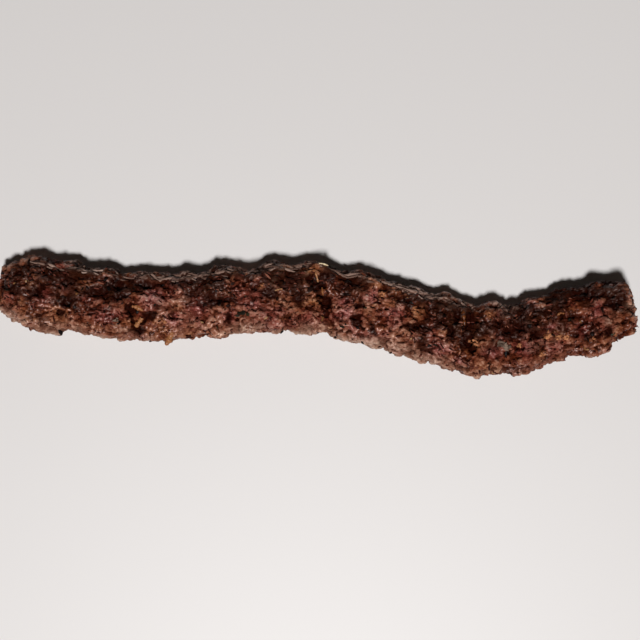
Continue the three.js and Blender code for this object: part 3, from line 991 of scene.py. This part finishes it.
def grilled_mince(char_colour, gap_shade_colour, skin_and_rim_colour):
    """Minced lamb and beef, char-grilled over coals: red-brown grains, black where the fire caught the
    ridges, greyer tan where it only steamed, and wet with its own fat, which gives the small glints. Shade is
    painted into its colour in gaps, creases and on the far side, and light is painted onto what stands proud,
    the lumps and the far rim."""
    material, tree, shader = new_material("grilled_mince_meat")
    place = add(tree, "ShaderNodeTexCoord", {}, "Object")
    field = {name: add(tree, "ShaderNodeAttribute", {"attribute_name": name}, "Fac") for name in FIELDS}

    # grains twice as long as wide, each with its own shade and with creases between them, bent by a
    # wandering noise, and fibres finer than they are
    swerve = add(tree, "ShaderNodeTexNoise", {"Vector": place, "Scale": 1 / (WANDER_SIZE * MM)}, "Color")
    swerve = add(tree, "ShaderNodeVectorMath", {"operation": "SUBTRACT", 0: swerve, 1: (0.5, 0.5, 0.5)})
    swerve = add(tree, "ShaderNodeVectorMath", {"operation": "SCALE", 0: swerve, "Scale": WANDER_REACH * MM})
    bent = add(tree, "ShaderNodeVectorMath", {"operation": "ADD", 0: place, 1: swerve})
    bent = add(tree, "ShaderNodeMapping", {"Vector": bent, "Scale": (0.5, 1.0, 1.0)})
    cells = {"Vector": bent, "Scale": 1 / (GRAIN_WIDTH * MM)}
    cell_colour = add(tree, "ShaderNodeTexVoronoi", cells, "Color")
    cell_shade = add(tree, "ShaderNodeSeparateColor", {"Color": cell_colour}, "Red")
    edge = add(tree, "ShaderNodeTexVoronoi", {"feature": "DISTANCE_TO_EDGE", **cells}, "Distance")
    crease = add(tree, "ShaderNodeMapRange", {"Value": edge, "From Max": CREASE_SHARE})
    fibres = {"Vector": place, "Scale": 1 / (FIBRE_WIDTH * MM), "Detail": 3.0, "Roughness": 0.6}
    fibre = add(tree, "ShaderNodeTexNoise", fibres, "Fac")

    # the shade is a weighted sum, which starts below 0 by what creases and fibres add to it on average; its
    # creases are a painted shade, and its weights on what stands proud and on the lumps a painted light
    shade = -0.14
    for value, weight in (
        (cell_shade, 0.22),
        (crease, 0.1),
        (fibre, 0.2),
        (field["grain"], 0.12),
        (field["crest"], 0.25),
        (field["swell"], 0.4),
    ):
        shade = add(tree, "ShaderNodeMath", {"operation": "MULTIPLY_ADD", 0: value, 1: weight, 2: shade})
    meat, amber, rosy, steamed = (
        add(tree, "ShaderNodeValToRGB", {"Fac": shade, "stops": stops}, "Color")
        for stops in (BROWN_SHADES, AMBER_SHADES, ROSY_SHADES, STEAMED_SHADES)
    )
    # over the mince go amber, rosy and steamed mince, char with a painted shade on the far side, the painted
    # shade of gaps, cracks and pits, and dried skin with a painted rim light
    for name, over in (
        ("warm", amber),
        ("rosy", rosy),
        ("pale", steamed),
        ("char", char_colour),
        ("hollow", gap_shade_colour),
        ("thread", skin_and_rim_colour),
    ):
        layers = {"data_type": "RGBA", "Factor": field[name], MIX_UNDER: meat, MIX_OVER: over}
        meat = add(tree, "ShaderNodeMix", layers, MIX_RESULT)

    # wet strands are smooth and bright, and grains seen edge-on a little greasy
    gloss = field["gloss"]
    grit = add(tree, "ShaderNodeMath", {"operation": "MULTIPLY_ADD", 0: crease, 1: 0.8, 2: fibre})
    strength = add(tree, "ShaderNodeMapRange", {"Value": gloss, "To Min": 0.8, "To Max": 0.2})
    bumps = {"Distance": GRIT_DEPTH * MM, "Height": grit, "Strength": strength}
    normal = add(tree, "ShaderNodeBump", bumps)
    edge_on = add(tree, "ShaderNodeLayerWeight", {"Blend": 0.3, "Normal": normal}, "Facing")
    rim = {"Value": edge_on, "From Min": 0.3, "From Max": 0.9, "To Max": 0.1}
    greasy = add(tree, "ShaderNodeMapRange", rim)
    wet = add(tree, "ShaderNodeMath", {"operation": "MULTIPLY", 0: gloss, 1: 0.45})
    dull = {"Value": gloss, "From Max": 0.6, "To Min": 0.6, "To Max": 0.36}
    fill(
        shader,
        {
            "Base Color": meat,
            "Roughness": add(tree, "ShaderNodeMapRange", dull),
            "IOR": MEAT_IOR,
            "Specular IOR Level": add(tree, "ShaderNodeMapRange", {"Value": gloss, "To Min": 0.1}),
            "Specular Tint": FAT_TINT,
            "Coat Weight": add(tree, "ShaderNodeMath", {"operation": "MAXIMUM", 0: greasy, 1: wet}),
            "Coat Roughness": 0.34,
            "Normal": normal,
        },
    )
    return material


def cooked_bit(name, stops, roughness, coat=0.03):
    """Loose bits of one kind, cooked through: a shade of its own for each bit, from the stops, clouded by
    noise half a millimetre wide, and a thin greasy coat."""
    material, tree, shader = new_material(name)
    place = add(tree, "ShaderNodeTexCoord", {}, "Object")
    fine = add(tree, "ShaderNodeTexNoise", {"Vector": place, "Scale": 1 / (0.5 * MM)}, "Fac")
    cloud = add(tree, "ShaderNodeMath", {"operation": "MULTIPLY_ADD", 0: fine, 1: 0.9, 2: -0.45})
    own = add(tree, "ShaderNodeAttribute", {"attribute_name": "grain"}, "Fac")
    shade = add(tree, "ShaderNodeMath", {"operation": "ADD", 0: own, 1: cloud})
    fill(
        shader,
        {
            "Base Color": add(tree, "ShaderNodeValToRGB", {"Fac": shade, "stops": stops}, "Color"),
            "Roughness": roughness,
            "IOR": MEAT_IOR,
            "Specular IOR Level": 0.1,
            "Coat Weight": coat,
            "Coat Roughness": 0.3,
            "Normal": add(tree, "ShaderNodeBump", {"Strength": 0.6, "Distance": 0.3 * MM, "Height": fine}),
        },
    )
    return material


def painted_board(colour):
    """Matt painted board: a pale, even grey-white."""
    material, _, shader = new_material("pale_painted_board")
    fill(shader, {"Base Color": colour, "Roughness": 0.5})
    return material


# ---- the finished crust -------------------------------------------------------------------------
def over_solid():
    """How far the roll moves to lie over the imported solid: from the middle of its own coarse grid's box to
    the middle of the solid's box, and not up or down."""
    plain = crust_grid(*SOLID_GRID)[0].reshape(-1, 3)
    low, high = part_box(NODE)
    shift = (np.array(low) + np.array(high)) / 2 / MM - (plain.min(0) + plain.max(0)) / 2
    shift[2] = 0.0
    return shift


class Crust:
    """The roll's surface, worked out once and shared by the pieces that lie on it.

    Its fields are whole arrays over the grid, from 0 to 1: pale where the near side only steamed; painted
    shade in pits, cracks and the gaps between lumps and strands; a painted highlight on what stands proud;
    char where it burnt, also a painted shade on the far side; warm and rosy for the colour of the mince;
    dried skin with a painted rim light along the far shoulder; gloss on wet strands; swell, a painted light
    on lumps and lighter patches with random shades; and grain, which is random for each strand. near, far and
    upward say which way the surface lies.
    """

    made = None

    def __init__(self, settings):
        fine_grid = crust_grid(FINE_ROWS_PER_END, settings.rows, settings.sides, FINE_SPREAD)
        crust, along, angle, self.lumpiness = fine_grid
        self.along, self.angle = along[:, 0], angle[0]
        self.across = -np.cos(angle) + 0.0 * along
        self.near = smooth_step(-0.45, -0.95, self.across)
        self.far = smooth_step(0.6, 0.78, self.across)
        crust = crust + over_solid()
        crust[..., 1] += far_bulge(crust, self.across)
        self.upward = smooth_step(-0.1, 0.3, grid_normals(crust)[..., 2])
        self.pale = self.steamed(crust, along)
        self.crack = crack_depth(crust, self.upward, in_millimetres(settings.pit_depth))
        self.roughen(crust, along, angle, np.random.default_rng(settings.seed))
        self.brown(along, angle)
        onward = np.linalg.norm(np.gradient(self.points, axis=0), axis=-1)
        round_it = np.linalg.norm(np.gradient(self.points, axis=1), axis=-1)
        self.area = onward * round_it

    def steamed(self, crust, along):
        """Broken stretches of the near side, weaker past two thirds of the roll and none at its end."""
        pale = self.near * smooth_step(-0.6, 0.35, layered_swirl(crust, *STEAMED_SWIRL))
        pale = pale * (1 - 0.7 * smooth_step(*STEAMED_WEAKER, along)) * smooth_step(*STEAMED_END, along)
        return pale * (1 - 0.55 * smooth_step(-0.1, 0.5, layered_swirl(crust, *STEAMED_BREAKS)))

    def roughen(self, crust, along, angle, random):
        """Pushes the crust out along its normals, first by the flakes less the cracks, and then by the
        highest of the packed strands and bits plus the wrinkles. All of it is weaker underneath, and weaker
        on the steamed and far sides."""
        rough = on_top(angle) + 0.0 * along
        self.ridge = wrinkles(crust, along)
        coarse = flakes(crust, along) * (1 - 0.45 * self.pale - 0.3 * self.far) * rough - self.crack
        self.crust = crust + grid_normals(crust) * coarse[..., None]
        normals = grid_normals(self.crust)
        worms, worm_grain = pack_strands(self.crust, normals, random=random, **WORMS)
        bits, bit_grain = pack_strands(self.crust, normals, random=random, **BITS)
        self.grain = np.where(bits > worms, bit_grain, worm_grain)
        self.strand_top = smooth_step(0.0, 0.2, worms - bits) * smooth_step(0.05, 0.4, worms)
        relief = np.maximum(np.maximum(worms, bits), DEEPEST_GAP)
        relief = relief * (1 - 0.2 * self.pale - 0.3 * self.far)
        relief = relief + 0.4 * self.ridge * (0.4 + 0.6 * np.maximum(self.pale, self.far))
        relief = relief * (0.25 + 0.75 * rough)
        self.depth = coarse + relief
        self.points = self.crust + normals * (relief - BEDDING)[..., None]
        self.points[..., 2] = np.maximum(self.points[..., 2], 0.0)
        self.normals = grid_normals(self.points)

    def brown(self, along, angle):
        """Works out the fields that the colours and the gloss read, from how deep each point lies among
        its neighbours, from slow swirls and from the listed patches."""
        crust, across, depth = self.crust, self.across, self.depth
        blurry = bent_points(crust, *PATCH_BENDS)
        tone_and_light = tone_and_light_shift(blurry)
        amber, rosy = patch_share(blurry, AMBER), patch_share(blurry, ROSY)

        # gaps between lumps and between strands are painted dark, a painted shade of the relief, and so are
        # cracks and pits
        deep = np.maximum(blurred(depth, STRAND_STEPS) - depth, 0.7 * (blurred(depth, LUMP_STEPS) - depth))
        shaded = smooth_step(0.05, 0.65, deep) * (1 - 0.6 * self.pale) * (1 - 0.3 * np.clip(tone_and_light, 0.0, 2.0))
        self.hollow = np.maximum(shaded * 0.92, 0.97 * smooth_step(0.3, 1.0, self.crack))
        # a painted highlight on what stands above its neighbours
        self.crest = smooth_step(0.0, 1.1, depth - blurred(depth, LUMP_STEPS))

        # the far side gets more char than the near side, partly real burning and partly a painted shade of
        # the side turned from the light; lumps and lighter patches get less, a painted light
        burnt = 0.8 * layered_swirl(crust, *WIDE_CHAR_SWIRL) + 0.95 * layered_swirl(crust, *FINE_CHAR_SWIRL)
        burnt = burnt + 0.7 * across + 0.3 * (self.grain - 0.5) - 0.5 * self.near
        burnt = burnt - 0.15 * self.lumpiness - 0.35 * tone_and_light
        char = smooth_step(-0.1, 0.55, burnt) * (1 - 0.9 * np.maximum(amber, rosy))
        self.char = np.maximum(char * 0.9, 0.95 * patch_share(blurry, BURNS) * self.upward)
        # swell: painted light on lumps and lighter patches and painted shade in the valleys between, plus
        # random shades
        shades = 0.5 * layered_swirl(crust, *SHADE_SWIRL)
        self.swell = smooth_step(-1.8, 1.6, self.lumpiness + shades + tone_and_light)

        warm = smooth_step(0.1, 0.8, layered_swirl(along_roll(crust, along, WARM_STRETCH), *WARM_SWIRL))
        self.warm = np.maximum(0.6 * warm, amber) * (1 - rosy) * self.upward
        blush = smooth_step(-0.1, 0.7, layered_swirl(crust, *ROSY_SWIRL))
        self.rosy = np.maximum(0.6 * blush, rosy) * (1 - self.warm)

        # skin dried to threads along the far shoulder, painted pale, partly dried skin and partly a painted
        # rim light where the far edge catches light, but not below it nor near the right end
        skin = smooth_step(0.76, 0.9, across) * smooth_step(-0.7, -0.1, layered_swirl(crust, *SKIN_SWIRL))
        skin = skin * smooth_step(-0.25, 0.2, np.sin(angle)) * smooth_step(*SKIN_END, along)
        self.thread = 0.95 * skin * smooth_step(0.35, 0.75, self.ridge)
        wet = smooth_step(-0.4, 0.3, layered_swirl(crust, *WET_SWIRL))
        wet = wet * self.upward * (1 - 0.6 * np.maximum(self.char, self.hollow))
        self.gloss = self.strand_top * wet

    @classmethod
    def of(cls, settings):
        """The scene's one crust, worked out when first asked for."""
        if cls.made is None:
            cls.made = cls(settings)
        return cls.made

    def above(self, x, y, reach):
        """A spot seen from above, at the height of the highest point of the crust within reach of it, or,
        off the crust, within reach of the nearest point."""
        gap = np.hypot(self.points[..., 0] - x, self.points[..., 1] - y)
        if gap.min() >= reach:
            reach = reach + gap.min()
        return np.array([x, y, self.points[gap < reach][:, 2].max()])

    def spot(self, along, across):
        """A place on the crust so far along the roll and so far across its top: the mean of the points
        round it."""
        row = int(np.interp(along, self.along, np.arange(len(self.along))))
        side = int(np.interp(math.acos(-across), self.angle, np.arange(len(self.angle))))
        nearby = np.ix_(range(row - 3, row + 4), range(side - 1, side + 2))
        return self.points[nearby].mean(axis=(0, 1))

    def homes(self, count, weight, random):
        """Points and normals picked at random, as often as weight says for each patch of crust."""
        share = (self.area * weight).ravel()
        picked = random.choice(share.size, size=count, p=share / share.sum())
        return self.points.reshape(-1, 3)[picked], self.normals.reshape(-1, 3)[picked]


# ---- add-on -------------------------------------------------------------------------------------
def in_millimetres(metres):
    """A setting's length in millimetres, without the last digits of a short float."""
    return round(metres / MM, 4)


def colour_setting(name, description, default):
    """A colour that the panel shows, its default given as an sRGB hex value."""
    return bpy.props.FloatVectorProperty(
        name=name,
        description=description,
        default=linear(default),
        size=4,
        min=0.0,
        max=1.0,
        subtype="COLOR",
    )


class KoftaSettings(bpy.types.PropertyGroup):
    """Sizes, counts and colours that a user would change"""

    rows: bpy.props.IntProperty(
        name="Rings",
        description="Rings of points along the roll",
        default=700,
        min=100,
    )
    sides: bpy.props.IntProperty(
        name="Sides",
        description="Points round each ring",
        default=134,
        min=30,
    )
    seed: bpy.props.IntProperty(
        name="Seed",
        description="Seed of the mince's scatter",
        default=7,
    )
    pit_depth: bpy.props.FloatProperty(
        name="Pit depth",
        description="Depth of the burnt pits in the crust",
        default=2.8 * MM,
        min=0.0,
        max=5.0 * MM,
        precision=4,
        unit="LENGTH",
    )
    crumb_size: bpy.props.FloatProperty(
        name="Crumb size",
        description="Radius of the largest loose crumbs of mince before they are stretched",
        default=0.65 * MM,
        min=0.35 * MM,
        max=2.0 * MM,
        precision=5,
        unit="LENGTH",
    )
    crumbs: bpy.props.IntProperty(
        name="Crumbs",
        description="How many loose crumbs of mince lie on the crust",
        default=1100,
        min=1,
    )
    sinew_count: bpy.props.IntProperty(
        name="Sinews",
        description="How many threads of sinew lie along the far shoulder",
        default=30,
        min=1,
    )
    # char colour, also laid on the far side as a painted shade
    char_colour: colour_setting("Char", "Mince that the fire burnt", "#210701")
    # colour of the painted shade in cracks, pits and gaps
    gap_shade_colour: colour_setting("Gaps", "Depth of cracks, pits and gaps between strands", "#240500")
    # pale of the dried skin, also a painted rim light along the far edge
    skin_and_rim_colour: colour_setting("Dried skin", "Skin dried to threads along the far edge", "#aa8a7b")
    floor_colour: colour_setting("Floor", "The painted board under the roll", "#dcd8d6")
    key_power: bpy.props.FloatProperty(
        name="Key light",
        description="Power of the large soft light",
        default=59.8,
        min=0.0,
        unit="POWER",
    )


class KOFTA_OT_roll(bpy.types.Operator):
    """Builds the roll of minced meat in place of its plain solid"""

    bl_idname = "kofta.roll"
    bl_label = "Roll of mince"

    def execute(self, context):
        settings = context.scene.kofta
        crust = Crust.of(settings)
        tips = np.stack([crust.points[0].mean(0), crust.points[-1].mean(0)])
        points = np.concatenate([crust.points.reshape(-1, 3), tips])
        faces = closed_grid_faces(*crust.points.shape[:2])
        fields = {}
        for name in FIELDS:
            values = getattr(crust, name)
            fields[name] = np.concatenate([values.ravel(), [values[0].mean(), values[-1].mean()]])
        colours = (settings.char_colour, settings.gap_shade_colour, settings.skin_and_rim_colour)
        piece = new_piece("kofta_roll", points, faces, grilled_mince(*colours), fields)
        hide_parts(NODE)
        return {"FINISHED"}


class KOFTA_OT_bits(bpy.types.Operator):
    """Scatters the crumbs of mince, fat, onion, herbs and char that stand out of the crust"""

    bl_idname = "kofta.bits"
    bl_label = "Crumbs and flecks"

    def execute(self, context):
        settings = context.scene.kofta
        crust = Crust.of(settings)
        random = np.random.default_rng(settings.seed + 1)
        top = crust.upward * (1 - 0.92 * crust.pale) * (1 - 0.9 * crust.far)
        open_top = top * (1 - crust.hollow) * (1 - 0.6 * crust.char)
        # name and material, how many, where, smallest and largest size, ranges of length, width and
        # height in that size, shades and roughness
        kinds = (
            # mince broken into crumbs and browned through: long, brown, a little greasy
            (
                "mince_crumbs",
                "crumbled_mince",
                settings.crumbs,
                top * (1 - 0.9 * crust.hollow),
                (0.3, in_millimetres(settings.crumb_size)),
                ((1.2, 3.0), (0.5, 0.9), (0.4, 0.8)),
                ((0.0, "#250c05"), (0.4, "#421a12"), (0.75, "#683226"), (1.0, "#8d5744")),
                0.4,
            ),
            # skin burnt to charcoal that lifts off in thin flakes: black and matt
            (
                "char_flakes",
                "burnt_skin",
                120,
                top * (0.1 + crust.char) * (1 - crust.near) ** 3,
                (0.5, 1.2),
                ((0.8, 1.6), (0.6, 1.1), (0.18, 0.4)),
                ((0.0, "#0a0403"), (1.0, "#26140f")),
                0.45,
            ),
            # tail fat and grated onion, browned by the heat: golden and moist
            (
                "fat_and_onion_bits",
                "browned_fat",
                18,
                open_top,
                (0.35, 0.8),
                ((1.0, 1.8), (0.7, 1.0), (0.5, 0.8)),
                ((0.0, "#6e4426"), (0.5, "#8f6640"), (1.0, "#b08d68")),
                0.3,
            ),
            # chopped parsley, dried by the heat: thin, dark olive and dull
            (
                "herb_flecks",
                "chopped_parsley",
                22,
                open_top,
                (0.4, 0.9),
                ((0.9, 1.7), (0.5, 0.9), (0.15, 0.3)),
                ((0.0, "#0c0d08"), (0.6, "#1f2118"), (1.0, "#3b3a2a")),
                0.5,
            ),
        )
        for name, stuff, count, weight, size, shape, stops, roughness in kinds:
            homes, normals = crust.homes(count, weight, random)
            vertices, faces, grain = scattered(homes, normals, size, shape, (-0.5, 0.3), random)
            new_piece(name, vertices, faces, cooked_bit(stuff, stops, roughness), {"grain": grain})
        return {"FINISHED"}


class KOFTA_OT_accents(bpy.types.Operator):
    """Lays the strands of onion and sinew, the torn herb leaves, the larger flakes of char, and the nubs
    and beads of gristle and fat"""

    bl_idname = "kofta.accents"
    bl_label = "Strands, leaves and flakes"

    def execute(self, context):
        settings = context.scene.kofta
        crust = Crust.of(settings)
        random = np.random.default_rng(settings.seed + 2)

        # sinew along the far shoulder, dried to pale, dull threads
        sinews = []
        shares = np.linspace(0, 1, 5)
        for start in np.linspace(*SINEW_START, settings.sinew_count):
            length = random.uniform(*SINEW_LENGTH)
            across = random.uniform(*SINEW_ACROSS)
            steps = start + random.uniform(-3.0, 3.0) + length * shares
            wave = across - random.uniform(-0.05, 0.16) * shares + random.normal(0, 0.035, len(shares))
            places = [crust.spot(step, min(wide, FAR_EDGE)) for step, wide in zip(steps, wave)]
            sinews.append(strand(places, random.uniform(*SINEW_RADIUS)))
        shades = np.repeat(random.uniform(0, 1, len(sinews)), [len(points) for points, _ in sinews])
        stops = ((0.0, "#50382f"), (0.4, "#75594d"), (0.75, "#907467"), (1.0, "#a98d80"))
        new_piece("sinew_threads", *joined(sinews), cooked_bit("dried_sinew", stops, 0.5), {"grain": shades})

        # slivers of onion, fried soft: amber to cream, moist and glossy
        onions = []
        for route, radius, _, first_up, last_up in STRANDS:
            lifts = np.linspace(first_up, last_up, len(route))
            places = [crust.above(x, y, 1.2) + (0, 0, up) for (x, y), up in zip(route, lifts)]
            onions.append(strand(places, radius))
        shades = np.repeat([shade for _, _, shade, _, _ in STRANDS], [len(points) for points, _ in onions])
        stops = ((0.0, "#4a220f"), (0.25, "#7a451f"), (0.6, "#a8714b"), (0.9, "#cdb088"), (1.0, "#dcc8a2"))
        material = cooked_bit("fried_onion", stops, 0.35, coat=0.3)
        new_piece("onion_strands", *joined(onions), material, {"grain": shades})

        nubs = clusters(NUBS, BITS_PER_NUB, random)
        beads = clusters(BEADS, BITS_PER_BEAD, random)
        # name and material, places, ranges of length, width and height in the place's size, shades and
        # roughness
        kinds = (
            # leaves of parsley, dried thin and dark
            (
                "herb_leaves",
                "torn_parsley",
                LEAVES,
                ((0.9, 1.3), (0.5, 0.7), (0.12, 0.2)),
                ((0.0, "#14120c"), (1.0, "#35301f")),
                0.45,
            ),
            # flakes of onion and skin burnt to charcoal: black, with a faint sheen
            (
                "charred_flakes",
                "burnt_onion",
                FLAKES,
                ((0.9, 1.2), (0.4, 0.6), (0.2, 0.3)),
                ((0.0, "#0b0808"), (1.0, "#231c1b")),
                0.4,
            ),
            # gristle: firm, greyish and dull
            (
                "gristle_nubs",
                "cooked_gristle",
                nubs,
                ((1.0, 1.8), (0.6, 0.9), (0.5, 0.7)),
                ((0.0, "#35271d"), (1.0, "#856f60")),
                0.45,
            ),
            # fat that ran out and browned: amber and glossy
            (
                "fat_beads",
                "rendered_fat",
                beads,
                ((1.0, 1.8), (0.6, 0.9), (0.5, 0.7)),
                ((0.0, "#5c2b17"), (1.0, "#c28259")),
                0.35,
            ),
        )
        for name, stuff, places, shape, stops, roughness in kinds:
            homes = np.array([crust.above(x, y, 0.6) for x, y, _ in places])
            sizes = np.array([size for _, _, size in places])[:, None, None]
            ups = np.tile((0.0, -0.1, 1.0), (len(places), 1))
            vertices, faces, grain = scattered(homes, ups, sizes, shape, (-0.3, 0.2), random, steps=2)
            new_piece(name, vertices, faces, cooked_bit(stuff, stops, roughness), {"grain": grain})
        return {"FINISHED"}


class KOFTA_OT_stage(bpy.types.Operator):
    """Sets the camera, the lights and the plain floor"""

    bl_idname = "kofta.stage"
    bl_label = "Stage"

    def execute(self, context):
        scene = context.scene
        settings = scene.kofta
        mesh = bpy.data.meshes.new("floor")
        corners = [(x * FLOOR_HALF, y * FLOOR_HALF, 0) for x, y in ((-1, -1), (1, -1), (1, 1), (-1, 1))]
        mesh.from_pydata(corners, [], [(0, 1, 2, 3)])
        mesh.materials.append(painted_board(settings.floor_colour))
        floor = bpy.data.objects.new("floor", mesh)
        scene.collection.objects.link(floor)

        data = bpy.data.cameras.new("camera")
        data.sensor_width = SENSOR
        data.lens = SENSOR * CAMERA_DISTANCE / FRAME_WIDTH
        camera = bpy.data.objects.new("camera", data)
        camera.location = (CAMERA_X, CAMERA_Y, CAMERA_DISTANCE + CAMERA_FOCUS_HEIGHT)
        scene.collection.objects.link(camera)
        scene.camera = camera

        # name, compass angle, height angle, distance, width and power
        for name, azimuth, elevation, reach, size, power in (
            ("key", -90, 67, 2.4, 0.42, settings.key_power),
            ("rim", 90, 14, 1.1, 0.5, RIM_POWER),
        ):
            data = bpy.data.lights.new(name, "AREA")
            data.shape = "DISK"
            data.size = size
            data.energy = power
            light = bpy.data.objects.new(name, data)
            round_it, up = math.radians(azimuth), math.radians(elevation)
            level = reach * math.cos(up)
            light.location = (level * math.cos(round_it), level * math.sin(round_it), reach * math.sin(up))
            light.rotation_euler = (-light.location).to_track_quat("-Z", "Y").to_euler()
            scene.collection.objects.link(light)

        world = bpy.data.worlds.new("room")
        world.use_nodes = True
        fill(world.node_tree.nodes["Background"], {"Color": ROOM_COLOUR, "Strength": ROOM_STRENGTH})
        scene.world = world
        scene.view_settings.view_transform = "Standard"
        return {"FINISHED"}


class KOFTA_PT_panel(bpy.types.Panel):
    """Lists the settings and the operators"""

    bl_idname = "KOFTA_PT_panel"
    bl_label = "Kofta kebab"
    bl_space_type = "VIEW_3D"
    bl_region_type = "UI"
    bl_category = "Kofta"

    def draw(self, context):
        for name in KoftaSettings.__annotations__:
            self.layout.prop(context.scene.kofta, name)
        for operator in OPERATORS:
            self.layout.operator(operator.bl_idname)


OPERATORS = (KOFTA_OT_stage, KOFTA_OT_roll, KOFTA_OT_bits, KOFTA_OT_accents)
CLASSES = (KoftaSettings, *OPERATORS, KOFTA_PT_panel)


def register():
    for item in CLASSES:
        bpy.utils.register_class(item)
    bpy.types.Scene.kofta = bpy.props.PointerProperty(type=KoftaSettings)


def unregister():
    del bpy.types.Scene.kofta
    for item in reversed(CLASSES):
        bpy.utils.unregister_class(item)


def main():
    register()
    bpy.ops.kofta.stage()
    bpy.ops.kofta.roll()
    bpy.ops.kofta.bits()
    bpy.ops.kofta.accents()


if __name__ == "__main__":
    main()
